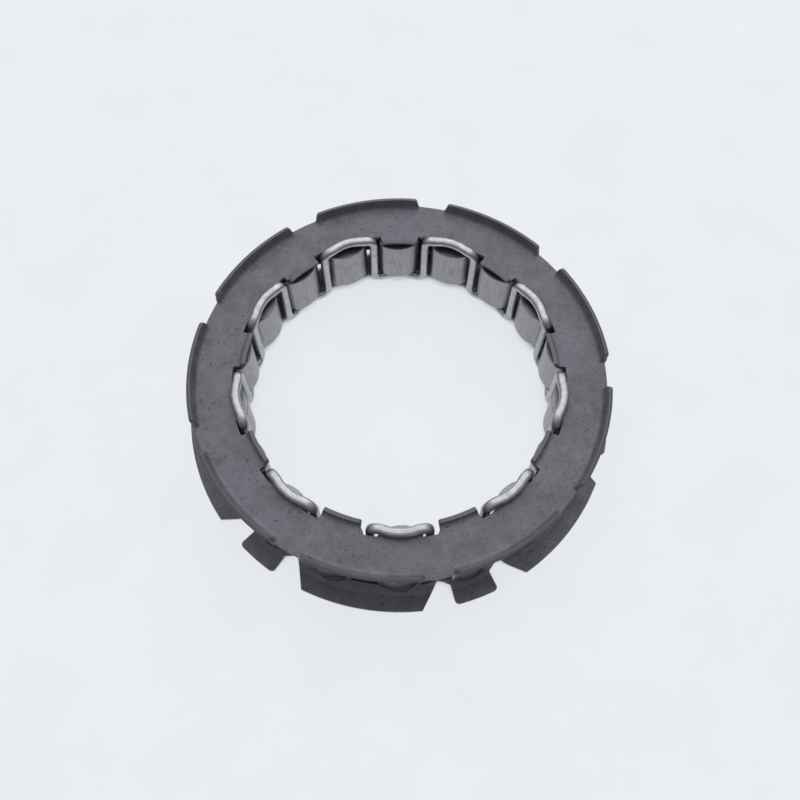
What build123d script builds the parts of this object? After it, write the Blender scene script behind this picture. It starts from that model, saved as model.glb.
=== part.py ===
from build123d import *
import math
import os

# Sprag clutch, units mm. Origin on the ring axis at the underside of the lugs, +Z up.

# Race space the sprags work in
INNER_RACE_R = 25.85
RACE_SPACE = 8.33

# Pockets round the ring, angles in degrees from +X
POCKETS = 18
FIRST_POCKET = -9.16
PITCH = 360 / POCKETS

# End plate
PLATE_SHEET = 0.7
PLATE_BORE_SETBACK = 1.8
PLATE_WIDTH = 7.3
RIM_OVERHANG = 0.57
RIM_HEIGHT = 1.75
RIM_LEAN = 20.0
RIM_BEND_R = 0.9
RIM_TAB_ANGLE = 30.9
RIM_CORNER_R = 0.6
RIM_ROOT_R = 0.5
LIP_BEND_R = 0.8
LIP_ANGLE = 13.8

# Cage
CAGE_SHEET = 0.55
CAGE_WALL_SETBACK = 0.98
CAGE_BEND_R = 1.8
FLANGE_REACH = 4.25
WINDOW_GAP_SIDE = 0.3
WINDOW_GAP_LOW = 0.25
WINDOW_GAP_HIGH = 0.05
WINDOW_CORNER_R = 0.5
SCALLOP_R = 4.55
SCALLOP_GAP = 0.07
LUG_SETS = 6
WIDE_LUG_ANGLE = 31.4
WIDE_LUG_FLARE = 33.0
NARROW_LUG_ANGLE = 11.5
LUG_CORNER_R = 0.7
GAP_DEEP_FLOOR = 0.05
GAP_SHALLOW_FLOOR = 1.0

# Energising spring, a flat wire bent into a closed meander
WIRE_TALL = 1.4
WIRE_DEEP = 1.65
WIRE_EDGE = 0.4
WIRE_RACE_GAP = 0.475
ELBOW_R = 1.4
SPRING_LOW = 0.15
BULGE_ARC_R = 4.0
BULGE_ANGLE = 10.0
LEG_SLOT_GAP = 0.25

# Sprag
SPRAG_LENGTH = 9.0
SPRAG_GAP_LOW = 0.35
SPRAG_GAP_HIGH = 0.3
SPRAG_LEG_GAP = 0.365
INNER_CAM_R = 5.6
INNER_CAM_SHIFT = 0.35
OUTER_CAM_R = 5.3
OUTER_CAM_SHIFT = -0.65
FLARE = 0.65
FLANK = 0.59
WAIST_HALF = 2.5
WAIST_SHIFT = 0.2
HEAD_HALF = 3.3
HEAD_SHIFT = 0.15
HEAD_DEPTH = 2.78
SPRAG_CORNER_R = 0.3
SPRAG_END_CHAMFER = 0.15

# Values that follow from the ones above
TABS = POCKETS // 2
TAB_PITCH = 360 / TABS
RIM_TAB_AT = FIRST_POCKET - PITCH / 2
LIP_AT = FIRST_POCKET + PITCH
OUTER_RACE_R = INNER_RACE_R + RACE_SPACE
SPRAG_LOW = SPRING_LOW + WIRE_TALL + SPRAG_GAP_LOW
SPRAG_HIGH = SPRAG_LOW + SPRAG_LENGTH
PLATE_LOW = SPRAG_HIGH + SPRAG_GAP_HIGH
PLATE_TOP = PLATE_LOW + PLATE_SHEET
PLATE_BORE_R = INNER_RACE_R + PLATE_BORE_SETBACK
PLATE_RIM_R = PLATE_BORE_R + PLATE_WIDTH
RIM_TIP_R = PLATE_RIM_R + RIM_OVERHANG
RIM_TOP = PLATE_TOP + RIM_HEIGHT
CAGE_WALL_R = OUTER_RACE_R - CAGE_WALL_SETBACK
FLANGE_R = CAGE_WALL_R + FLANGE_REACH
WINDOW_WIDTH = 2 * (HEAD_HALF + WINDOW_GAP_SIDE)
WINDOW_LOW = SPRAG_LOW - WINDOW_GAP_LOW
WINDOW_HIGH = SPRAG_HIGH + WINDOW_GAP_HIGH
SCALLOP_CREST_R = OUTER_RACE_R + SCALLOP_GAP
GAP_DEEP_R = CAGE_WALL_R + GAP_DEEP_FLOOR
GAP_SHALLOW_R = CAGE_WALL_R + GAP_SHALLOW_FLOOR
WIRE_R = INNER_RACE_R + WIRE_RACE_GAP + WIRE_DEEP / 2
CAGE_FOLD_R = CAGE_WALL_R + CAGE_BEND_R
CAGE_FOLD_Z = CAGE_SHEET + CAGE_BEND_R
LUG_PITCH = 360 / LUG_SETS
LOOP_Z = PLATE_TOP + WIRE_TALL / 2
BOTTOM_Z = SPRING_LOW + WIRE_TALL / 2
LEG_SIDE = WIRE_R * math.sin(math.radians(PITCH / 2)) - WIRE_TALL / 2
SHOULDER_HALF = LEG_SIDE - SPRAG_LEG_GAP
INNER_CAM_HALF = SHOULDER_HALF - FLARE
CAM_EDGE_RISE = INNER_CAM_R - math.sqrt(INNER_CAM_R ** 2 - (INNER_CAM_HALF + INNER_CAM_SHIFT) ** 2)
SHOULDER_R = INNER_RACE_R + CAM_EDGE_RISE + FLARE + FLANK
HEAD_START_R = OUTER_RACE_R - HEAD_DEPTH
SPRAG_PIVOT_R = (SHOULDER_R + HEAD_START_R) / 2 + WAIST_SHIFT
FAR = 2 * FLANGE_R


def sin_deg(angle):
    return math.sin(math.radians(angle))


def cos_deg(angle):
    return math.cos(math.radians(angle))


def about_axis(angle, shape):
    """The shape turned about the ring axis."""
    return Rot(0, 0, angle) * shape


def ring_slice(profile, centre, angle):
    """A profile drawn in radius and height, swept through one sector."""
    return about_axis(centre - angle / 2, revolve(Plane.XZ * profile, Axis.Z, revolution_arc=angle))


def block_profile(r_in, r_out, z_low, z_high):
    """A plain rectangle in radius and height."""
    return Pos((r_in + r_out) / 2, (z_low + z_high) / 2) * Rectangle(r_out - r_in, z_high - z_low)


def lean_profile():
    """A rim tab in radius and height: a sharp fold and a wall that leans outward."""
    turn = 90 - RIM_LEAN
    along, across = cos_deg(turn), sin_deg(turn)
    wall_length = (RIM_TOP - PLATE_TOP - RIM_BEND_R * (1 - along)) / across
    fold_r = RIM_TIP_R - (RIM_BEND_R + PLATE_SHEET) * across - wall_length * along
    fold_z = PLATE_TOP + RIM_BEND_R

    def at_fold(radius, angle):
        return (fold_r + radius * sin_deg(angle), fold_z - radius * cos_deg(angle))

    def at_tip(radius):
        foot_r, foot_z = at_fold(radius, turn)
        return (foot_r + wall_length * along, foot_z + wall_length * across)

    inner, outer = RIM_BEND_R, RIM_BEND_R + PLATE_SHEET
    outside = ThreePointArc(at_fold(outer, 0), at_fold(outer, turn / 2), at_fold(outer, turn))
    wall = Polyline(at_fold(outer, turn), at_tip(outer), at_tip(inner), at_fold(inner, turn))
    inside = ThreePointArc(at_fold(inner, turn), at_fold(inner, turn / 2), at_fold(inner, 0))
    start = Line(at_fold(inner, 0), at_fold(outer, 0))
    return make_face(outside + wall + inside + start), fold_r


def quarter_bend(r, z, inner_radius, sheet, r_side):
    """A quarter turn of sheet below the fold centre, on the side of it named by the sign."""
    reach = inner_radius + sheet
    corner = Pos(r_side * reach / 2, -reach / 2) * Rectangle(reach, reach)
    return Pos(r, z) * ((Circle(reach) - Circle(inner_radius)) & corner)


def tab_end():
    """What is cut away beside a rim tab, with a rounded corner where the tab springs from the ring."""
    across, high = 4 * RIM_ROOT_R, 2 * (RIM_TOP - PLATE_TOP)
    outline = Pos(across / 2, PLATE_TOP + high / 2) * Rectangle(across, high)
    root = outline.vertices().sort_by_distance((0, PLATE_TOP, 0))[0]
    outline = fillet(root, RIM_ROOT_R)
    return extrude(Plane.YZ.offset(PLATE_BORE_R) * outline, amount=FLANGE_R - PLATE_BORE_R)


def rim_tab():
    """One leaning tab of the plate's rim, with rounded top corners."""
    profile, fold_r = lean_profile()
    past_end = 2 * math.degrees(RIM_ROOT_R / fold_r)
    tab = ring_slice(profile, 0, RIM_TAB_ANGLE + past_end)
    end = tab_end()
    high_end = about_axis(RIM_TAB_ANGLE / 2, end)
    low_end = mirror(high_end, about=Plane.XZ)
    tab = tab - [high_end, low_end]
    corners = tab.edges().filter_by(GeomType.LINE).group_by(Axis.Z)[-1]
    return fillet(corners, RIM_CORNER_R)


def inner_lip():
    """One small upturned lip on the plate's bore."""
    fold = quarter_bend(PLATE_BORE_R, PLATE_TOP + LIP_BEND_R, LIP_BEND_R, PLATE_SHEET, -1)
    return ring_slice(fold, 0, LIP_ANGLE)


def leg_slots():
    """The two slots beside a lip that the spring's legs pass through."""
    depth = block_profile(PLATE_BORE_R - 1, WIRE_R + WIRE_DEEP / 2 + LEG_SLOT_GAP, 0, PLATE_TOP + 1)
    past_elbow = math.degrees((ELBOW_R + 0.05) / PLATE_BORE_R)
    angle = PITCH / 2 + past_elbow - LIP_ANGLE / 2
    centre = LIP_ANGLE / 2 + angle / 2
    return ring_slice(depth, centre, angle) + ring_slice(depth, -centre, angle)


def end_plate():
    """The flat ring with nine rim tabs, nine bore lips and slots for the spring."""
    fold_r = lean_profile()[1]
    flat = Cylinder(fold_r, PLATE_SHEET) - Cylinder(PLATE_BORE_R, PLATE_SHEET)
    plate = Pos(0, 0, PLATE_TOP - PLATE_SHEET / 2) * flat
    edge_profile = block_profile(fold_r, PLATE_RIM_R, PLATE_LOW, PLATE_TOP)
    edge = ring_slice(edge_profile, 0, TAB_PITCH - RIM_TAB_ANGLE)
    tab, lip, slots = rim_tab(), inner_lip(), leg_slots()
    added, removed = [], []
    for k in range(TABS):
        tab_at = RIM_TAB_AT + k * TAB_PITCH
        lip_at = LIP_AT + k * TAB_PITCH
        added.append(about_axis(tab_at, tab))
        added.append(about_axis(tab_at + TAB_PITCH / 2, edge))
        added.append(about_axis(lip_at, lip))
        removed.append(about_axis(lip_at, slots))
    plate = plate + added
    return plate - removed


def cage_blank():
    """The cage before its windows and gaps are cut: wall, fold and flange turned in one."""
    wall_in = CAGE_WALL_R - CAGE_SHEET
    wall = block_profile(wall_in, CAGE_WALL_R, CAGE_FOLD_Z, PLATE_LOW)
    fold = quarter_bend(CAGE_FOLD_R, CAGE_FOLD_Z, CAGE_BEND_R, CAGE_SHEET, -1)
    flange = block_profile(CAGE_FOLD_R, FLANGE_R, 0, CAGE_SHEET)
    return revolve(Plane.XZ * (wall + fold + flange), Axis.Z)


def window_cut():
    """One pocket's window, with the scallop below it that opens the fold."""
    height = WINDOW_HIGH - WINDOW_LOW
    outline = Pos(0, WINDOW_LOW + height / 2) * RectangleRounded(WINDOW_WIDTH, height, WINDOW_CORNER_R)
    window = extrude(Plane.YZ.offset(CAGE_WALL_R - 2 * CAGE_SHEET) * outline, amount=3 * CAGE_SHEET)
    scallop_high = WINDOW_LOW + WINDOW_CORNER_R
    centre_r = SCALLOP_CREST_R - SCALLOP_R
    scallop = Pos(centre_r, 0, scallop_high / 2 - 0.5) * Cylinder(SCALLOP_R, scallop_high + 1)
    return window + scallop


def lug_gap():
    """The gap past one end of a wide lug that is centred on +X, with a slanted side and floor."""
    end = WIDE_LUG_ANGLE / 2
    corner = Vector(FLANGE_R * cos_deg(end), FLANGE_R * sin_deg(end))
    slant = Vector(cos_deg(end - WIDE_LUG_FLARE), sin_deg(end - WIDE_LUG_FLARE))
    along = corner.dot(slant)
    to_floor = along - math.sqrt(along ** 2 - FLANGE_R ** 2 + GAP_DEEP_R ** 2)
    far_side = LUG_PITCH / 2 - NARROW_LUG_ANGLE / 2
    outline = Polyline(
        corner - slant * to_floor,
        corner + slant * GAP_DEEP_R,
        (FAR * cos_deg(far_side), FAR * sin_deg(far_side)),
        (GAP_SHALLOW_R * cos_deg(far_side), GAP_SHALLOW_R * sin_deg(far_side)),
        close=True,
    )
    return extrude(Pos(0, 0, -1) * make_face(outline), amount=CAGE_FOLD_Z + 1)


def sprag_cage():
    """The outer cage: eighteen windows, and a flange cut into wide and narrow lugs."""
    cage = cage_blank()
    window = window_cut()
    gap = lug_gap()
    gaps = (gap, mirror(gap, about=Plane.XZ))
    cuts = [about_axis(FIRST_POCKET + k * PITCH, window) for k in range(POCKETS)]
    for k in range(LUG_SETS):
        wide_lug_at = FIRST_POCKET + (k + 0.5) * LUG_PITCH
        cuts += [about_axis(wide_lug_at, side) for side in gaps]
    cage = cage - cuts
    return fillet(narrow_lug_corners(cage), LUG_CORNER_R)


def narrow_lug_corners(cage):
    """The upright outer edges of the narrow lugs."""
    corners = []
    for edge in cage.edges().filter_by(Axis.Z):
        middle = edge.center()
        angle = math.degrees(math.atan2(middle.Y, middle.X))
        from_lug = (angle - FIRST_POCKET + LUG_PITCH / 2) % LUG_PITCH - LUG_PITCH / 2
        at_rim = math.hypot(middle.X, middle.Y) > FLANGE_R - 0.01
        if at_rim and abs(from_lug) < NARROW_LUG_ANGLE:
            corners.append(edge)
    return corners


def wire_section():
    """The wire's cross-section, radial depth along x."""
    bare = Rectangle(WIRE_DEEP, WIRE_TALL)
    return chamfer(bare.vertices(), WIRE_EDGE)


def straight(plane, length):
    """A straight run of wire, and the plane at its far end."""
    return extrude(plane * wire_section(), amount=length), plane.offset(length)


def bent(plane, centre, direction, angle):
    """A bend of wire about an axis, and the plane at its far end."""
    axis = Axis(centre, direction)
    piece = revolve(plane * wire_section(), axis, revolution_arc=angle)
    arm = (plane.origin - centre).rotate(axis, angle)
    x_dir = plane.x_dir.rotate(axis, angle)
    z_dir = plane.z_dir.rotate(axis, angle)
    return piece, Plane(origin=centre + arm, x_dir=x_dir, z_dir=z_dir)


def elbow(plane, angle):
    """A quarter bend between a leg and a loop, about the radial direction."""
    side = 1 if angle > 0 else -1
    centre = plane.origin + plane.x_dir.cross(plane.z_dir) * (side * ELBOW_R)
    direction = plane.x_dir * side
    return bent(plane, centre, direction, abs(angle))


def plan_bend(plane, radius, angle):
    """A bend of a loop seen from above, inward for a positive angle."""
    side = 1 if angle > 0 else -1
    centre = plane.origin - plane.x_dir * (side * radius)
    return bent(plane, centre, Vector(0, 0, side), abs(angle))


def spring_period():
    """One leg, bottom loop, leg and top loop, ready to be copied round."""
    half_chord = WIRE_R * sin_deg(PITCH / 2) - ELBOW_R * cos_deg(PITCH / 2)
    turn = PITCH / 2 + BULGE_ANGLE
    first_run = BULGE_ARC_R * (sin_deg(turn) - sin_deg(PITCH / 2))
    bulge_r = (half_chord - first_run) / sin_deg(turn)
    leg_length = LOOP_Z - BOTTOM_Z - 2 * ELBOW_R
    start = LIP_AT - PITCH / 2
    radial = Vector(cos_deg(start), sin_deg(start), 0)
    top_of_leg = radial * WIRE_R + Vector(0, 0, LOOP_Z - ELBOW_R)
    place = Plane(origin=top_of_leg, x_dir=radial, z_dir=(0, 0, -1))
    bulge = (
        (plan_bend, BULGE_ARC_R, -BULGE_ANGLE),
        (plan_bend, bulge_r, 2 * turn),
        (plan_bend, BULGE_ARC_R, -BULGE_ANGLE),
    )
    bottom_loop = ((straight, leg_length), (elbow, 90), *bulge, (elbow, 90))
    top_loop = ((straight, leg_length), (elbow, -90), *bulge, (elbow, -90))
    pieces = []
    for move, *amounts in bottom_loop + top_loop:
        piece, place = move(place, *amounts)
        pieces.append(piece)
    return pieces


def energising_spring():
    """The closed meander that holds the sprags and tips them into contact."""
    pieces = []
    for k in range(TABS):
        pieces += [about_axis(k * TAB_PITCH, piece) for piece in spring_period()]
    return pieces[0].fuse(*pieces[1:])


def on_arc(centre_x, centre_y, radius, y, side):
    """The point of a cam circle at a given y, on its inner or outer side."""
    return (centre_x + side * math.sqrt(radius ** 2 - (y - centre_y) ** 2), y)


def sprag_outline():
    """The sprag's section: two offset cams joined by a waist."""
    inner_x = INNER_RACE_R + INNER_CAM_R
    outer_x = OUTER_RACE_R - OUTER_CAM_R
    head_low, head_high = HEAD_SHIFT - HEAD_HALF, HEAD_SHIFT + HEAD_HALF
    inner_low = on_arc(inner_x, INNER_CAM_SHIFT, INNER_CAM_R, -INNER_CAM_HALF, -1)
    inner_high = on_arc(inner_x, INNER_CAM_SHIFT, INNER_CAM_R, INNER_CAM_HALF, -1)
    outer_low = on_arc(outer_x, OUTER_CAM_SHIFT, OUTER_CAM_R, head_low, 1)
    outer_high = on_arc(outer_x, OUTER_CAM_SHIFT, OUTER_CAM_R, head_high, 1)
    inner_cam = ThreePointArc(inner_high, (INNER_RACE_R, INNER_CAM_SHIFT), inner_low)
    low_flank = Polyline(
        inner_low,
        (inner_low[0] + FLARE, -SHOULDER_HALF),
        (SHOULDER_R, -SHOULDER_HALF),
    )
    low_waist = ThreePointArc(
        (SHOULDER_R, -SHOULDER_HALF),
        (SPRAG_PIVOT_R, -WAIST_HALF),
        (HEAD_START_R, head_low),
    )
    low_head = Line((HEAD_START_R, head_low), outer_low)
    outer_cam = ThreePointArc(outer_low, (OUTER_RACE_R, OUTER_CAM_SHIFT), outer_high)
    high_head = Line(outer_high, (HEAD_START_R, head_high))
    high_waist = ThreePointArc(
        (HEAD_START_R, head_high),
        (SPRAG_PIVOT_R, WAIST_HALF),
        (SHOULDER_R, SHOULDER_HALF),
    )
    high_flank = Polyline(
        (SHOULDER_R, SHOULDER_HALF),
        (inner_high[0] + FLARE, SHOULDER_HALF),
        inner_high,
    )
    low_side = low_flank + low_waist + low_head
    high_side = high_head + high_waist + high_flank
    face = make_face(inner_cam + low_side + outer_cam + high_side)
    return fillet(face.vertices(), SPRAG_CORNER_R)


def sprag():
    """One sprag at the first pocket's own angle, its two ends chamfered."""
    body = extrude(Pos(0, 0, SPRAG_LOW) * sprag_outline(), amount=SPRAG_LENGTH)
    ends = body.faces().sort_by(Axis.Z)
    rims = ends[0].edges() + ends[-1].edges()
    return chamfer(rims, SPRAG_END_CHAMFER)


def write(node, shape):
    """One STEP file for one named node."""
    shape.label = node
    export_step(shape, f"parts/{node}.step")


os.makedirs("parts", exist_ok=True)
write("end_plate", end_plate())
write("sprag_cage", sprag_cage())
write("energising_spring", energising_spring())
one_sprag = sprag()
for number in range(POCKETS):
    write(f"sprag_{number + 1:02d}", about_axis(FIRST_POCKET + number * PITCH, one_sprag))
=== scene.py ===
import math

import bmesh
import bpy
from mathutils import Matrix, Vector


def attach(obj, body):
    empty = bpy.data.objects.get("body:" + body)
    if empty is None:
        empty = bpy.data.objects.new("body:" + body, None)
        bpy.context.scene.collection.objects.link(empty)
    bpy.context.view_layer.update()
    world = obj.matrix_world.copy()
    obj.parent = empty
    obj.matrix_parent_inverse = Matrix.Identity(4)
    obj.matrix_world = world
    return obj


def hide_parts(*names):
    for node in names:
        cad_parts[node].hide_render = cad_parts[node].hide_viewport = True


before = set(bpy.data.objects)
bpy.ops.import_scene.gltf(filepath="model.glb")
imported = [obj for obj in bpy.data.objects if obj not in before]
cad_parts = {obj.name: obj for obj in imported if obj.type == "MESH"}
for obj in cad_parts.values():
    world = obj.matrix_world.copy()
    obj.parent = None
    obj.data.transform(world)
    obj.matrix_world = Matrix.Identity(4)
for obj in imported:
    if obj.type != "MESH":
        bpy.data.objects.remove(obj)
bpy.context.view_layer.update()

# Sizes are worked out in millimetres in the CAD frame and written to the meshes in metres
MM = 0.001
WELD = 0.002 * MM
RELIEF = 0.1 * MM
SHARP_ANGLE = math.radians(50)

# Races and pockets, the same as in the CAD
INNER_RACE_R = 25.85
OUTER_RACE_R = 34.18
POCKETS = 18
FIRST_POCKET = -9.16
PITCH = 360 / POCKETS
TAB_PITCH = 2 * PITCH
LUG_PITCH = 3 * PITCH

# Spring wire
WIRE_TALL = 1.4
WIRE_DEEP = 1.65
WIRE_ROUND = 0.62
LEG_CLEARANCE = 0.475
WIRE_R = INNER_RACE_R + LEG_CLEARANCE + WIRE_DEEP / 2
ELBOW_R = 1.4
SPRING_LOW = 0.15
BULGE_ARC_R = 4.0
BULGE_ANGLE = 10.0

# Sprags
SPRAG_LOW = 1.9
SPRAG_HIGH = 10.9
INNER_CAM = (31.45, 0.35)
INNER_CAM_R = 5.6
INNER_CAM_HALF = 3.0
OUTER_CAM = (28.88, -0.65)
OUTER_CAM_R = 5.3
HEAD_LOW, HEAD_HIGH = -3.15, 3.45
HEAD_START_R = 31.4
SHOULDER_HALF = 3.65
SHOULDER_R = 28.2
FLARE = 0.65
WAIST_HALF = 2.5
WAIST_R = 30.0
SPRAG_CORNER_R = 0.3
SPRAG_END_CHAMFER = 0.15

# End plate
PLATE_SHEET = 0.7
PLATE_TOP = 11.9
PLATE_BORE_R = 27.65
PLATE_RIM_R = 34.95
RIM_TIP_R = 35.52
RIM_TOP = 13.65
RIM_TURN = math.radians(70)
RIM_BEND_R = 0.9
RIM_TAB_HALF = 15.45
RIM_CORNER_R = 0.6
RIM_ROOT_R = 0.5
RIM_WALL = (RIM_TOP - PLATE_TOP - RIM_BEND_R * (1 - math.cos(RIM_TURN))) / math.sin(RIM_TURN)
RIM_FOLD_R = RIM_TIP_R - (RIM_BEND_R + PLATE_SHEET) * math.sin(RIM_TURN) - RIM_WALL * math.cos(RIM_TURN)
RIM_FOLD_END = RIM_FOLD_R + RIM_BEND_R * RIM_TURN
TAB_GAP_AT = -TAB_PITCH / 4
TAB_GAP_HALF = TAB_PITCH / 2 - RIM_TAB_HALF
TAB_RISE_ANGLE = 0.8
LIP_BEND_R = 0.8
LIP_HALF = 6.9
LIP_CORNER_R = 0.35
SLOT_END = 13.0
SLOT_R = 28.225
SLOT_MOUTH_R = 0.15
SLOT_CORNER_R = 0.25
FLAT_START_R = 28.8

# Sprag cage
CAGE_SHEET = 0.55
CAGE_TOP = PLATE_TOP - PLATE_SHEET
CAGE_WALL_R = 33.2
CAGE_BEND_R = 1.8
CAGE_FOLD_R = CAGE_WALL_R + CAGE_BEND_R
CAGE_FOLD_Z = CAGE_SHEET + CAGE_BEND_R
CAGE_WALL = CAGE_TOP - CAGE_FOLD_Z
FLANGE_R = 37.45
WINDOW_HALF = 3.6
WINDOW_HIGH = SPRAG_HIGH + 0.05
WINDOW_LOW = SPRAG_LOW - 0.25
WINDOW_CORNER_R = 0.5
SCALLOP_R = 4.55
SCALLOP_HALF = 2.8
SCALLOP_CLEARANCE = 0.07
SCALLOP_CREST_R = OUTER_RACE_R + SCALLOP_CLEARANCE
GAP_DEEP_R = 33.25
GAP_SHALLOW_R = 34.2
WIDE_LUG_FLARE = 33.0
WIDE_LUG_HALF = 15.7
NARROW_LUG_HALF = 5.75
WIDE_CORNER_R = 0.1
NARROW_CORNER_R = 0.7
GAP_CORNER_R = 0.2
# Radii at which the wide lug's slanted end gets its points
SLANT_ON_FOLD = (33.6, 34.0, 34.5)
SLANT_ON_FLANGE = (35.2, 36.0, 36.8)

# Cut edges of the sheets
EDGE_BREAK = 0.06
EDGE_LOOK_SLOT = 1
# The cage wall and the start of its fold get a dark copy of the cage's sheet: painted shade for the shadow
# under the plate's rim
PAINTED_SHADE_SLOT = 2
# How far round the fold the wall's painted shade reaches, in radians
PAINTED_SHADE_TURN = 0.5


# Materials

def to_linear(code):
    """An sRGB hex colour as linear RGBA."""
    values = []
    for i in (1, 3, 5):
        c = int(code[i:i + 2], 16) / 255
        values.append(c / 12.92 if c <= 0.04045 else ((c + 0.055) / 1.055) ** 2.4)
    return (*values, 1.0)


def node(tree, kind, inputs, output=0, **settings):
    """Adds a node whose inputs are sockets, values or hex colours, and returns one of its outputs."""
    made = tree.nodes.new(kind)
    for name, value in settings.items():
        setattr(made, name, value)
    for name, value in inputs.items():
        if isinstance(value, bpy.types.NodeSocket):
            tree.links.new(value, made.inputs[name])
        else:
            made.inputs[name].default_value = to_linear(value) if isinstance(value, str) else value
    return made.outputs[output] if made.outputs else None


def new_material(name):
    material = bpy.data.materials.new(name)
    material.use_nodes = True
    material.node_tree.nodes.clear()
    return material, material.node_tree


def millimetres(tree, stretch=(1.0, 1.0, 1.0)):
    """Object coordinates in millimetres, squeezed or drawn out for marks that run one way."""
    place = node(tree, "ShaderNodeTexCoord", {}, "Object")
    return node(tree, "ShaderNodeVectorMath", {0: place, 1: [s / MM for s in stretch]}, operation="MULTIPLY")


def patches(tree, place, per_mm, detail, rough, rise, between=(0.0, 1.0)):
    """Irregular patches, about per_mm of them to the millimetre, that rise over a part of the noise."""
    cloud = {"Vector": place, "Scale": per_mm, "Detail": detail, "Roughness": rough}
    spots = node(tree, "ShaderNodeTexNoise", cloud)
    low, high = between
    levels = {"From Min": rise[0], "From Max": rise[1], "To Min": low, "To Max": high}
    return node(tree, "ShaderNodeMapRange", {"Value": spots, **levels})


def layered(tree, colour, layers):
    """A colour with others laid over it in turn, each with its own share."""
    for share, over in layers:
        colour = node(tree, "ShaderNodeMix", {0: share, 6: colour, 7: over}, 2, data_type="RGBA")
    return colour


def finish_metal(tree, colour, roughness, height, bump, metallic=1.0):
    """The metal shader with a relief 0.1 mm deep at full bump, joined to the output."""
    relief = node(tree, "ShaderNodeBump", {"Strength": bump, "Distance": RELIEF, "Height": height})
    inputs = {"Base Color": colour, "Roughness": roughness, "Metallic": metallic, "Normal": relief}
    node(tree, "ShaderNodeOutputMaterial", {"Surface": node(tree, "ShaderNodeBsdfPrincipled", inputs)})


def phosphated_sheet(name, deep, tone, pale, bloom, metallic):
    """Phosphated strip steel: a dull clouded grey with a purple bloom, dark pits, pale rubs and scratches."""
    material, tree = new_material(name)
    place = millimetres(tree)
    scuffs = millimetres(tree, (1.0, 0.6, 1.0))
    scratches = millimetres(tree, (0.3, 2.6, 1.0))
    colour = layered(tree, deep, (
        (patches(tree, place, 0.3, 5.0, 0.65, (0.38, 0.62)), tone),
        (patches(tree, place, 0.12, 2.0, 0.5, (0.5, 0.65), (0.0, 0.6)), bloom),
        (patches(tree, place, 5.0, 4.0, 0.65, (0.42, 0.62), (0.0, 0.3)), pale),
        (patches(tree, place, 1.5, 4.0, 0.7, (0.61, 0.66), (0.0, 0.85)), "#2E2C33"),
        (patches(tree, scuffs, 0.8, 3.0, 0.8, (0.66, 0.7), (0.0, 0.6)), "#38363D"),
        (patches(tree, scratches, 0.9, 5.0, 0.75, (0.62, 0.7), (0.0, 0.6)), pale),
    ))
    roughness = patches(tree, place, 1.1, 3.0, 0.5, (0.3, 0.7), (0.4, 0.54))
    fine = {"Vector": place, "Scale": 5.0, "Detail": 4.0, "Roughness": 0.65}
    finish_metal(tree, colour, roughness, node(tree, "ShaderNodeTexNoise", fine), 0.5, metallic)
    return material


def sheared_edge(name, low, high, metallic):
    """The strip's stamped edge, where the punch leaves a burnished band with fine upright streaks."""
    material, tree = new_material(name)
    place = millimetres(tree, (3.0, 3.0, 0.6))
    streaks = node(tree, "ShaderNodeTexNoise", {"Vector": place, "Scale": 2.0, "Detail": 2.0})
    finish_metal(tree, layered(tree, low, [(streaks, high)]), 0.4, streaks, 0.2, metallic)
    return material


def spring_steel(name):
    """Drawn spring wire: mottled silver with a soft sheen that is duller in patches."""
    material, tree = new_material(name)
    place = millimetres(tree)
    colour = layered(tree, "#A3A4A7", [(patches(tree, place, 0.9, 3.0, 0.5, (0.3, 0.7)), "#BCBDC0")])
    roughness = patches(tree, place, 2.5, 3.0, 0.5, (0.3, 0.7), (0.32, 0.44))
    grain = node(tree, "ShaderNodeTexNoise", {"Vector": place, "Scale": 5.0, "Detail": 2.0})
    finish_metal(tree, colour, roughness, grain, 0.1)
    return material


def ground_steel(name):
    """Ground sprag steel: neutral grey with fine upright grinding marks and a few darker stains.

    The marks are drawn about 0.08 mm apart, much coarser than the real grit's, to show in the render.
    """
    material, tree = new_material(name)
    upright = millimetres(tree, (13.0, 13.0, 0.4))
    streaks = {"Vector": upright, "Scale": 1.0, "Detail": 3.0, "Roughness": 0.6}
    colour = layered(tree, "#7C7C7F", (
        (patches(tree, upright, 1.0, 3.0, 0.6, (0.35, 0.65)), "#A6A6A9"),
        (patches(tree, millimetres(tree), 0.55, 4.0, 0.6, (0.55, 0.75), (0.0, 0.5)), "#66686B"),
    ))
    roughness = patches(tree, upright, 1.0, 3.0, 0.6, (0.3, 0.7), (0.3, 0.44))
    finish_metal(tree, colour, roughness, node(tree, "ShaderNodeTexNoise", streaks), 0.25)
    return material


PLATE_LOOK = phosphated_sheet("phosphated_plate", "#5B595F", "#6F6D72", "#838187", "#716C7F", 0.2)
PLATE_EDGE_LOOK = sheared_edge("sheared_plate_edge", "#58575B", "#69686C", 0.2)
CAGE_LOOK = phosphated_sheet("phosphated_cage", "#605D67", "#726F79", "#8A8791", "#6D697C", 0.3)
# A dark copy of the cage's phosphated sheet: painted shade for the cage wall, which lies in the shadow under
# the plate
PAINTED_SHADE_WALL_LOOK = phosphated_sheet("painted_shade_cage_wall", "#222125", "#29282D", "#36353A", "#2B2933", 0.3)
CAGE_EDGE_LOOK = sheared_edge("sheared_cage_edge", "#9C9CA0", "#C0C0C4", 0.4)
SPRING_LOOK = spring_steel("drawn_spring_wire")
SPRAG_LOOK = ground_steel("ground_sprag_steel")


# Mesh helpers

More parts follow.
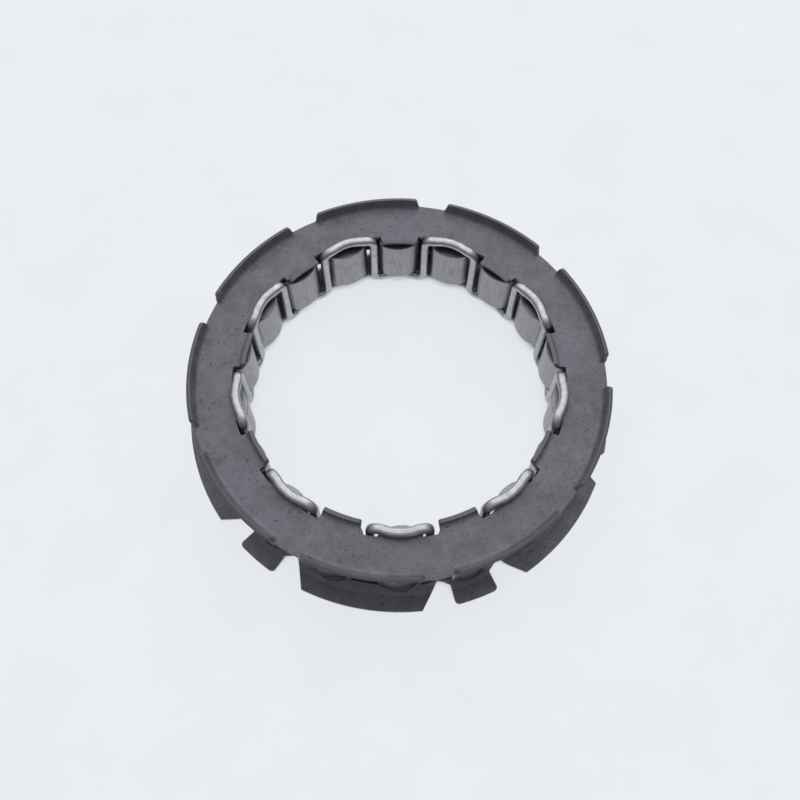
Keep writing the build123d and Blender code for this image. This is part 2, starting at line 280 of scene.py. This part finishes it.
def add_object(name, bm, materials):
    """The bmesh as an object at the origin, shaded smooth but for its level faces and real corners."""
    bmesh.ops.recalc_face_normals(bm, faces=bm.faces[:])
    for face in bm.faces:
        face.smooth = abs(face.normal.z) < 0.9999
    for edge in bm.edges:
        if len(edge.link_faces) == 2 and edge.calc_face_angle(0.0) > SHARP_ANGLE:
            edge.smooth = False
    mesh = bpy.data.meshes.new(name)
    bm.to_mesh(mesh)
    bm.free()
    for material in materials:
        mesh.materials.append(material)
    made = bpy.data.objects.new(name, mesh)
    bpy.context.scene.collection.objects.link(made)
    weighted = made.modifiers.new("even_normals", "WEIGHTED_NORMAL")
    weighted.keep_sharp = True
    return made


def stand_for(piece, cad_node, body):
    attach(piece, body)
    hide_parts(cad_node)


def only_verts(geom):
    return [v for v in geom if isinstance(v, bmesh.types.BMVert)]


def break_corners(bm, width, segments=2):
    """Bevels every sharp edge of the piece."""
    edges = [e for e in bm.edges if len(e.link_faces) == 2 and e.calc_face_angle(0.0) > SHARP_ANGLE]
    bmesh.ops.bevel(
        bm, geom=edges, offset=width * MM, offset_type="OFFSET", segments=segments, profile=0.5,
        affect="EDGES", material=-1,
    )


def repeat_round(bm, count):
    """Repeats the whole mesh round the ring axis and welds the copies."""
    geom = bm.verts[:] + bm.edges[:] + bm.faces[:]
    turn = 2 * math.pi * (count - 1) / count
    bmesh.ops.spin(bm, geom=geom, axis=(0, 0, 1), angle=turn, steps=count - 1, use_duplicate=True)
    bmesh.ops.remove_doubles(bm, verts=bm.verts[:], dist=WELD)
    bmesh.ops.recalc_face_normals(bm, faces=bm.faces[:])


def spread(low, high, count):
    return [low + (high - low) * i / count for i in range(count + 1)]


def rounded(points, radius_at, steps=5):
    """Rounds the corners of an outline; a point is (angle in degrees, path in mm, corner radius)."""
    made = []
    for i, (a, v, r) in enumerate(points):
        if r == 0:
            made.append((a, v))
            continue
        scale = math.radians(1) * radius_at(v)
        three = points[i], points[i - 1], points[(i + 1) % len(points)]
        here, before, after = (Vector((p[0] * scale, p[1])) for p in three)
        one, two = (before - here).normalized(), (after - here).normalized()
        half = one.angle(two) / 2
        centre = here + (one + two).normalized() * (r / math.sin(half))
        start, end = (here + way * (r / math.tan(half)) - centre for way in (one, two))
        for t in spread(0, 1, steps):
            corner = centre + (start * (1 - t) + end * t).normalized() * r
            made.append((corner.x / scale, corner.y))
    return made


def flat_pattern(outer, holes, angle_cuts, path_cuts):
    """The sheet's flat pattern as a filled mesh in (angle, path), cut where it will bend."""
    bm = bmesh.new()
    for loop in [outer, *holes]:
        verts = [bm.verts.new((a, v, 0)) for a, v in loop]
        for i, vert in enumerate(verts):
            bm.edges.new((verts[i - 1], vert))
    bmesh.ops.triangle_fill(bm, use_beauty=True, edges=bm.edges[:], normal=(0, 0, 1))
    for cuts, normal in ((angle_cuts, Vector((1, 0, 0))), (path_cuts, Vector((0, 1, 0)))):
        for at in cuts:
            geom = bm.verts[:] + bm.edges[:] + bm.faces[:]
            bmesh.ops.bisect_plane(bm, geom=geom, dist=1e-5, plane_co=normal * at, plane_no=normal)
    return bm


def bend_sheet(bm, place, sheet, copies, first_angle, look_at):
    """Gives the flat pattern its thickness, bends it into shape and repeats it round the axis.

    place turns (angle, path, depth) into a radius and a height, and look_at a path into a material slot.
    """
    seam = 180 / copies
    for face in bm.faces:
        face.material_index = look_at(face.calc_center_median().y)
    lifted = bmesh.ops.extrude_face_region(bm, geom=bm.faces[:])["geom"]
    bmesh.ops.translate(bm, verts=only_verts(lifted), vec=(0, 0, sheet))
    walls = [face for face in bm.faces if abs(face.calc_center_median().z - sheet / 2) < sheet / 4]
    for face in walls:
        face.material_index = EDGE_LOOK_SLOT
    on_seam = [face for face in walls if all(abs(abs(v.co.x) - seam) < 1e-4 for v in face.verts)]
    bmesh.ops.delete(bm, geom=on_seam, context="FACES")
    for vert in bm.verts:
        radius, height = place(*vert.co)
        turn = math.radians(vert.co.x + first_angle)
        vert.co = Vector((radius * math.cos(turn), radius * math.sin(turn), height)) * MM
    repeat_round(bm, copies)
    break_corners(bm, EDGE_BREAK)


# End plate

def tab_share(a):
    """How far the rim is bent up at an angle: 1 along a tab, 0 in the gap, eased between them."""
    t = (abs(a - TAB_GAP_AT) - TAB_GAP_HALF + TAB_RISE_ANGLE) / TAB_RISE_ANGLE
    t = min(max(t, 0.0), 1.0)
    return t * t * (3 - 2 * t)


def plate_place(a, v, depth):
    """Radius and height on the plate: v is the way along its top face, in mm of radius on the flat."""
    if v < PLATE_BORE_R:
        turn = (PLATE_BORE_R - v) / LIP_BEND_R
        reach = LIP_BEND_R + depth
        return PLATE_BORE_R - reach * math.sin(turn), PLATE_TOP + LIP_BEND_R - reach * math.cos(turn)
    share = tab_share(a)
    if v < RIM_FOLD_R or share < 0.001:
        return v, PLATE_TOP - depth
    bend = RIM_BEND_R / share
    turn = min((v - RIM_FOLD_R) / bend, RIM_TURN * share)
    past = max(0.0, v - RIM_FOLD_END)
    out = RIM_FOLD_R + (bend + depth) * math.sin(turn) + past * math.cos(turn)
    return out, PLATE_TOP + bend - (bend + depth) * math.cos(turn) + past * math.sin(turn)


def make_plate():
    """One period of the plate, with a bore lip in its middle, repeated nine times."""
    seam = TAB_PITCH / 2
    lip_end = PLATE_BORE_R - LIP_BEND_R * math.pi / 2
    tab_end = RIM_FOLD_END + RIM_WALL
    low, high = TAB_GAP_AT - TAB_GAP_HALF, TAB_GAP_AT + TAB_GAP_HALF
    outline = [
        (-seam, PLATE_BORE_R, 0), (-SLOT_END, PLATE_BORE_R, SLOT_MOUTH_R),
        (-SLOT_END, SLOT_R, SLOT_CORNER_R), (-LIP_HALF, SLOT_R, SLOT_CORNER_R),
        (-LIP_HALF, lip_end, LIP_CORNER_R), (LIP_HALF, lip_end, LIP_CORNER_R),
        (LIP_HALF, SLOT_R, SLOT_CORNER_R), (SLOT_END, SLOT_R, SLOT_CORNER_R),
        (SLOT_END, PLATE_BORE_R, SLOT_MOUTH_R), (seam, PLATE_BORE_R, 0),
        (seam, tab_end, 0), (high, tab_end, RIM_CORNER_R), (high, PLATE_RIM_R, RIM_ROOT_R),
        (low, PLATE_RIM_R, RIM_ROOT_R), (low, tab_end, RIM_CORNER_R), (-seam, tab_end, 0),
    ]
    outer = rounded(outline, lambda v: v if v < RIM_FOLD_R else PLATE_RIM_R)
    rises = spread(0, TAB_RISE_ANGLE, 4)
    angle_cuts = spread(-seam, seam, 40)[1:-1] + [low + d for d in rises] + [high - d for d in rises]
    path_cuts = spread(lip_end, PLATE_BORE_R, 6)[1:] + spread(FLAT_START_R, RIM_FOLD_R, 5)
    path_cuts += spread(RIM_FOLD_R, RIM_FOLD_END, 7)[1:]
    bm = flat_pattern(outer, [], angle_cuts, path_cuts)
    bend_sheet(bm, plate_place, PLATE_SHEET, POCKETS // 2, FIRST_POCKET + PITCH, lambda v: 0)
    stand_for(add_object("plate_ring", bm, [PLATE_LOOK, PLATE_EDGE_LOOK]), "end_plate", "root")


# Sprag cage

def cage_place(a, v, depth):
    """Radius and height on the cage: v runs down the wall's outer face, round the fold and out."""
    if v < CAGE_WALL:
        return CAGE_WALL_R - depth, CAGE_TOP - v
    turn = min((v - CAGE_WALL) / CAGE_BEND_R, math.pi / 2)
    reach = CAGE_BEND_R + depth
    out = max(0.0, v - CAGE_WALL - CAGE_BEND_R * math.pi / 2)
    return CAGE_FOLD_R - reach * math.cos(turn) + out, CAGE_FOLD_Z - reach * math.sin(turn)


def fold_path(r):
    """The way along the cage's outer face to a radius on its fold."""
    return CAGE_WALL + CAGE_BEND_R * math.acos((CAGE_FOLD_R - r) / CAGE_BEND_R)


def window_loop(centre):
    """One window with its scallop, as (angle, path) points."""
    side = math.degrees(math.asin(WINDOW_HALF / CAGE_WALL_R))
    top = CAGE_TOP - WINDOW_HIGH
    sill = CAGE_WALL + CAGE_BEND_R * math.asin((CAGE_FOLD_Z - WINDOW_LOW) / CAGE_BEND_R)
    corners = [(side, top), (side, sill), (-side, sill), (-side, top)]
    corners = rounded([(a, v, WINDOW_CORNER_R) for a, v in corners], lambda v: CAGE_WALL_R)
    right, left = corners[:len(corners) // 2], corners[len(corners) // 2:]
    scallop = []
    for y in spread(SCALLOP_HALF, -SCALLOP_HALF, 14):
        x = SCALLOP_CREST_R - SCALLOP_R + math.sqrt(SCALLOP_R ** 2 - y ** 2)
        scallop.append((math.degrees(math.atan2(y, x)), fold_path(math.hypot(x, y))))
    return [(a + centre, v) for a, v in right + scallop + left]


def wide_lug_end(r):
    """The angle from the narrow lug's centre at which the wide lug's slanted end lies."""
    flare = math.radians(WIDE_LUG_FLARE)
    slant = WIDE_LUG_FLARE - math.degrees(math.asin(FLANGE_R * math.sin(flare) / r))
    return LUG_PITCH / 2 - WIDE_LUG_HALF + slant


def make_cage():
    """One period of the cage, a narrow lug between two halves of wide ones, repeated six times."""
    seam = LUG_PITCH / 2
    flange_start = CAGE_WALL + CAGE_BEND_R * math.pi / 2
    flange_end = flange_start + FLANGE_R - CAGE_FOLD_R
    slant = [(wide_lug_end(r), fold_path(r), 0) for r in SLANT_ON_FOLD]
    slant += [(wide_lug_end(r), flange_start + r - CAGE_FOLD_R, 0) for r in SLANT_ON_FLANGE]
    high_side = [
        (wide_lug_end(FLANGE_R), flange_end, WIDE_CORNER_R), *reversed(slant),
        (wide_lug_end(GAP_DEEP_R), fold_path(GAP_DEEP_R), GAP_CORNER_R),
        (NARROW_LUG_HALF, fold_path(GAP_SHALLOW_R), GAP_CORNER_R),
        (NARROW_LUG_HALF, flange_end, NARROW_CORNER_R),
    ]
    low_side = [(-a, v, r) for a, v, r in reversed(high_side)]
    outline = [
        (-seam, 0, 0), (seam, 0, 0), (seam, flange_end, 0), *high_side, *low_side, (-seam, flange_end, 0),
    ]
    outer = rounded(outline, lambda v: CAGE_FOLD_R)
    windows = [window_loop(a) for a in (-PITCH, 0, PITCH)]
    path_cuts = spread(0, CAGE_WALL, 6)[1:-1] + spread(CAGE_WALL, flange_start, 10)
    bm = flat_pattern(outer, windows, spread(-seam, seam, 60)[1:-1], path_cuts)
    # The painted shade covers the wall and the start of its fold
    wall_end = CAGE_WALL + CAGE_BEND_R * PAINTED_SHADE_TURN
    bend_sheet(
        bm, cage_place, CAGE_SHEET, POCKETS // 3, FIRST_POCKET,
        lambda v: PAINTED_SHADE_SLOT if v < wall_end else 0,
    )
    piece = add_object("cage_ring", bm, [CAGE_LOOK, CAGE_EDGE_LOOK, PAINTED_SHADE_WALL_LOOK])
    stand_for(piece, "sprag_cage", "root")


# Energising spring

def make_spring():
    """The wire's rounded section led down a leg, round a bottom loop, up a leg and round a top loop.

    The end faces are left out, because the next of the nine copies starts where this one ends.
    """
    half_pitch = math.radians(PITCH / 2)
    bulge = math.radians(BULGE_ANGLE)
    half_chord = WIRE_R * math.sin(half_pitch) - ELBOW_R * math.cos(half_pitch)
    bulge_r = half_chord - BULGE_ARC_R * (math.sin(half_pitch + bulge) - math.sin(half_pitch))
    bulge_r /= math.sin(half_pitch + bulge)
    top, bottom = PLATE_TOP + WIRE_TALL / 2, SPRING_LOW + WIRE_TALL / 2
    length = top - bottom - 2 * ELBOW_R
    first_leg = math.radians(FIRST_POCKET) + half_pitch
    point = Vector((WIRE_R * math.cos(first_leg), WIRE_R * math.sin(first_leg), top - ELBOW_R))
    across, travel = Vector((math.cos(first_leg), math.sin(first_leg), 0)), Vector((0, 0, -1))

    bm = bmesh.new()
    bmesh.ops.create_grid(bm, x_segments=1, y_segments=1, size=0.5)
    bmesh.ops.scale(bm, verts=bm.verts[:], vec=(WIRE_DEEP, WIRE_TALL, 1))
    bmesh.ops.bevel(
        bm, geom=bm.verts[:], offset=WIRE_ROUND, offset_type="OFFSET", segments=4, profile=0.5,
        affect="VERTICES", material=-1,
    )
    bmesh.ops.delete(bm, geom=bm.faces[:], context="FACES_ONLY")
    frame_of_leg = Matrix((across, travel.cross(across), travel)).transposed()
    bmesh.ops.transform(bm, verts=bm.verts[:], matrix=Matrix.Translation(point) @ frame_of_leg.to_4x4())
    end = bm.verts[:] + bm.edges[:]

    def leg():
        nonlocal end, point
        for _ in range(2):
            rim = [e for e in end if isinstance(e, bmesh.types.BMEdge)]
            end = bmesh.ops.extrude_edge_only(bm, edges=rim)["geom"]
            end = [part for part in end if not isinstance(part, bmesh.types.BMFace)]
            bmesh.ops.translate(bm, verts=only_verts(end), vec=travel * (length / 2))
            point = point + travel * (length / 2)

    def bend(centre, axis, angle, steps):
        nonlocal end, point, across, travel
        end = bmesh.ops.spin(bm, geom=end, cent=centre, axis=axis, angle=angle, steps=steps)["geom_last"]
        turn = Matrix.Rotation(angle, 3, axis)
        point, across, travel = centre + turn @ (point - centre), turn @ across, turn @ travel

    def elbow(side):
        bend(point + across.cross(travel) * (side * ELBOW_R), across, side * math.pi / 2, 9)

    def plan_bend(radius, angle, steps):
        bend(point - across * math.copysign(radius, angle), Vector((0, 0, 1)), angle, steps)

    for side in (1, -1):
        leg()
        elbow(side)
        plan_bend(BULGE_ARC_R, -bulge, 4)
        plan_bend(bulge_r, 2 * (half_pitch + bulge), 12)
        plan_bend(BULGE_ARC_R, -bulge, 4)
        elbow(side)
    bmesh.ops.scale(bm, verts=bm.verts[:], vec=(MM, MM, MM))
    repeat_round(bm, POCKETS // 2)
    stand_for(add_object("meander_spring", bm, [SPRING_LOOK]), "energising_spring", "root")


# Sprags

def cam_face(centre, radius, y_from, y_to, side):
    """Points along a cam, from one place across the sprag to another."""
    across = spread(y_from, y_to, 18)
    return [(centre[0] + side * math.sqrt(radius ** 2 - (y - centre[1]) ** 2), y) for y in across]


def arc_through(a, b, c, steps):
    """Points on the circle through three points, from a to c, ends included."""
    ax, ay, bx, by, cx, cy = *a, *b, *c
    d = 2 * (ax * (by - cy) + bx * (cy - ay) + cx * (ay - by))
    squares = (ax ** 2 + ay ** 2, bx ** 2 + by ** 2, cx ** 2 + cy ** 2)
    ux = (squares[0] * (by - cy) + squares[1] * (cy - ay) + squares[2] * (ay - by)) / d
    uy = (squares[0] * (cx - bx) + squares[1] * (ax - cx) + squares[2] * (bx - ax)) / d
    start, end = math.atan2(ay - uy, ax - ux), math.atan2(cy - uy, cx - ux)
    sweep = (end - start + math.pi) % (2 * math.pi) - math.pi
    radius = math.hypot(ax - ux, ay - uy)
    turns = spread(start, start + sweep, steps)
    return [(ux + radius * math.cos(t), uy + radius * math.sin(t)) for t in turns]


def sprag_outline():
    """The sprag's section, x radial and y round the ring: inner cam, waist, outer cam and waist."""
    inner = cam_face(INNER_CAM, INNER_CAM_R, INNER_CAM_HALF, -INNER_CAM_HALF, -1)
    outer = cam_face(OUTER_CAM, OUTER_CAM_R, HEAD_LOW, HEAD_HIGH, 1)
    high_edge, low_edge = (inner[0][0] + FLARE, SHOULDER_HALF), (inner[-1][0] + FLARE, -SHOULDER_HALF)
    low_waist = arc_through((SHOULDER_R, -SHOULDER_HALF), (WAIST_R, -WAIST_HALF), (HEAD_START_R, HEAD_LOW), 8)
    high_waist = arc_through((HEAD_START_R, HEAD_HIGH), (WAIST_R, WAIST_HALF), (SHOULDER_R, SHOULDER_HALF), 8)
    return [*inner, low_edge, *low_waist, *outer, *high_waist, high_edge]


def soften(points, radius, steps=3):
    """Rounds the outline's real corners, those of 18 degrees and more, with a small radius."""
    made = []
    for i in range(len(points)):
        here, before, after = Vector(points[i]), Vector(points[i - 1]), Vector(points[(i + 1) % len(points)])
        bend = math.pi - (before - here).angle(after - here)
        if bend < math.radians(18):
            made.append(tuple(here))
            continue
        reach = min(radius * math.tan(bend / 2), (before - here).length * 0.48, (after - here).length * 0.48)
        start = here + (before - here).normalized() * reach
        end = here + (after - here).normalized() * reach
        for t in spread(0, 1, steps):
            made.append(tuple(start * (1 - t) ** 2 + here * (2 * t * (1 - t)) + end * t ** 2))
    return made


def make_sprags():
    outline = soften(sprag_outline(), SPRAG_CORNER_R)
    for k in range(POCKETS):
        turn = Matrix.Rotation(math.radians(FIRST_POCKET + PITCH * k), 3, "Z")
        bm = bmesh.new()
        bottom = bm.faces.new([bm.verts.new((turn @ Vector((x, y, SPRAG_LOW))) * MM) for x, y in outline])
        lifted = bmesh.ops.extrude_face_region(bm, geom=[bottom])["geom"]
        bmesh.ops.translate(bm, verts=only_verts(lifted), vec=(0, 0, (SPRAG_HIGH - SPRAG_LOW) * MM))
        bmesh.ops.recalc_face_normals(bm, faces=bm.faces[:])
        break_corners(bm, SPRAG_END_CHAMFER)
        name = f"sprag_{k + 1:02d}"
        stand_for(add_object(f"ground_{name}", bm, [SPRAG_LOOK]), name, f"{name}_body")


make_plate()
make_cage()
make_spring()
make_sprags()


# Floor, light and camera

TABLE_HALF = 1.5
# The table lies a hair below the lugs, so that no two faces share one plane
TABLE_DROP = 0.02 * MM
# How much of its own paleness the table keeps for the camera; the rest shows the shadows
FLOOR_PALENESS = 0.86
TABLE_SHADE = "#303236"
SKY_LOW = 0.2
SKY_HIGH = 0.85
SKY_CENTRE = (0.0, 0.5, 0.866)


def table_shade(tree, place):
    """How dark the table is where the ring keeps the light off it: below the pockets and in the scallops."""
    radius = node(tree, "ShaderNodeVectorMath", {0: place}, "Value", operation="LENGTH")
    x, y = (node(tree, "ShaderNodeSeparateXYZ", {0: place}, axis) for axis in ("X", "Y"))
    angle = node(tree, "ShaderNodeMath", {0: y, 1: x}, operation="ARCTAN2")
    past_first = node(tree, "ShaderNodeMath", {0: angle, 1: math.radians(FIRST_POCKET)}, operation="SUBTRACT")
    beats = node(tree, "ShaderNodeMath", {0: past_first, 1: float(POCKETS)}, operation="MULTIPLY")
    beat = node(tree, "ShaderNodeMath", {0: beats}, operation="COSINE")
    by_sprag = node(tree, "ShaderNodeMapRange", {"Value": beat, "From Max": 0.15})
    zones = []
    wall, crest = (CAGE_WALL_R - 0.8, CAGE_WALL_R), (SCALLOP_CREST_R, SCALLOP_CREST_R + 0.15)
    for (start, end), share in ((wall, 1.0), (crest, by_sprag)):
        fade = {"Value": radius, "From Min": start, "From Max": end, "To Min": 1.0, "To Max": 0.0}
        inside = node(tree, "ShaderNodeMapRange", fade)
        zones.append(node(tree, "ShaderNodeMath", {0: inside, 1: share}, operation="MULTIPLY"))
    onset = {"Value": radius, "From Min": WIRE_R + 0.3, "From Max": WIRE_R + 1.1, "To Max": 0.9}
    past_bore = node(tree, "ShaderNodeMapRange", onset)
    widest = node(tree, "ShaderNodeMath", {0: zones[0], 1: zones[1]}, operation="MAXIMUM")
    return node(tree, "ShaderNodeMath", {0: widest, 1: past_bore}, operation="MULTIPLY")


def make_floor():
    """A pale table: the camera and mirror rays see mostly its own paleness and a little of its shadows."""
    material, tree = new_material("pale_table")
    place = millimetres(tree)
    mottle = patches(tree, place, 0.06, 4.0, 0.6, (0.3, 0.7))
    colour = layered(tree, "#ECEFF2", ((mottle, "#F0F3F6"), (table_shade(tree, place), TABLE_SHADE)))
    finish = {"Base Color": colour, "Roughness": 0.75, "Specular IOR Level": 0.2}
    matt = node(tree, "ShaderNodeBsdfPrincipled", finish)
    pale = node(tree, "ShaderNodeEmission", {"Color": colour, "Strength": 1.0})
    camera, glossy, through = (
        node(tree, "ShaderNodeLightPath", {}, f"Is {ray} Ray") for ray in ("Camera", "Glossy", "Transmission")
    )
    mirror = node(tree, "ShaderNodeMath", {0: glossy, 1: through}, operation="MAXIMUM")
    by_eye = node(tree, "ShaderNodeMath", {0: camera, 1: FLOOR_PALENESS}, operation="MULTIPLY")
    seen = node(tree, "ShaderNodeMath", {0: by_eye, 1: mirror}, operation="MAXIMUM")
    openness = node(tree, "ShaderNodeAmbientOcclusion", {"Distance": 20 * MM}, "AO", samples=8)
    in_open = node(tree, "ShaderNodeMapRange", {"Value": openness, "From Min": 0.15, "From Max": 0.35})
    share = node(tree, "ShaderNodeMath", {0: seen, 1: in_open}, operation="MULTIPLY")
    surface = node(tree, "ShaderNodeMixShader", {0: share, 1: matt, 2: pale})
    node(tree, "ShaderNodeOutputMaterial", {"Surface": surface})
    bm = bmesh.new()
    bmesh.ops.create_grid(
        bm, x_segments=1, y_segments=1, size=TABLE_HALF, matrix=Matrix.Translation((0, 0, -TABLE_DROP))
    )
    mesh = bpy.data.meshes.new("table_top")
    bm.to_mesh(mesh)
    bm.free()
    mesh.materials.append(material)
    floor = bpy.data.objects.new("table_top", mesh)
    bpy.context.scene.collection.objects.link(floor)


def make_world():
    """A white ceiling, brightest towards the rear, that falls off to dim walls."""
    world = bpy.data.worlds.new("soft_room")
    bpy.context.scene.world = world
    world.use_nodes = True
    tree = world.node_tree
    tree.nodes.clear()
    direction = node(tree, "ShaderNodeNewGeometry", {}, "Incoming")
    away = node(tree, "ShaderNodeVectorMath", {0: direction, 1: SKY_CENTRE}, "Value", operation="DOT_PRODUCT")
    levels = {"From Min": -1.0, "From Max": 0.0, "To Min": SKY_HIGH, "To Max": SKY_LOW}
    strength = node(tree, "ShaderNodeMapRange", {"Value": away, **levels})
    background = node(tree, "ShaderNodeBackground", {"Color": "#F6F7F8", "Strength": strength})
    node(tree, "ShaderNodeOutputWorld", {"Surface": background})


def aimed(place, target):
    """Turns a lamp at a place to shine at a target."""
    return (Vector(target) - Vector(place)).to_track_quat("-Z", "Y").to_euler()


def make_softbox():
    """One large soft lamp above and behind the ring, which leaves the rear tabs' inner faces dark."""
    lamp = bpy.data.lights.new("rear_softbox", "AREA")
    lamp.shape = "DISK"
    lamp.size = 1.5
    lamp.energy = 4.8
    made = bpy.data.objects.new("rear_softbox", lamp)
    made.location = (0.05, 0.62, 0.68)
    made.rotation_euler = aimed(made.location, (0, 0, 0))
    bpy.context.scene.collection.objects.link(made)


def turned(one, two, angle):
    """Two directions at right angles, turned in their own plane from the first towards the second."""
    return one * math.cos(angle) + two * math.sin(angle), two * math.cos(angle) - one * math.sin(angle)


def make_camera():
    """The photo's own viewpoint: 64 degrees above the table, looking slightly below the ring's centre."""
    picture_px, sensor_width = 800, 36
    lens_px = 855.2
    distance = 5.223 * PLATE_BORE_R
    elevation, yaw, pitch, roll = (math.radians(v) for v in (63.81, 0.042, -1.699, 0.789))
    back = Vector((0, -math.cos(elevation), math.sin(elevation)))
    right, up, ahead = Vector((1, 0, 0)), Vector((0, math.sin(elevation), math.cos(elevation))), -back
    ahead, right = turned(ahead, right, yaw)
    ahead, up = turned(ahead, up, pitch)
    right, up = turned(right, up, roll)
    data = bpy.data.cameras.new("photo_view")
    data.lens = lens_px * sensor_width / picture_px
    data.sensor_width = sensor_width
    data.clip_start, data.clip_end = 0.005, 10
    camera = bpy.data.objects.new("photo_view", data)
    eye = back * distance + Vector((0, 0, PLATE_TOP))
    camera.matrix_world = Matrix.Translation(eye * MM) @ Matrix((right, up, -ahead)).transposed().to_4x4()
    bpy.context.scene.collection.objects.link(camera)
    bpy.context.scene.camera = camera


make_floor()
make_world()
make_softbox()
make_camera()
bpy.context.scene.view_settings.view_transform = "Standard"
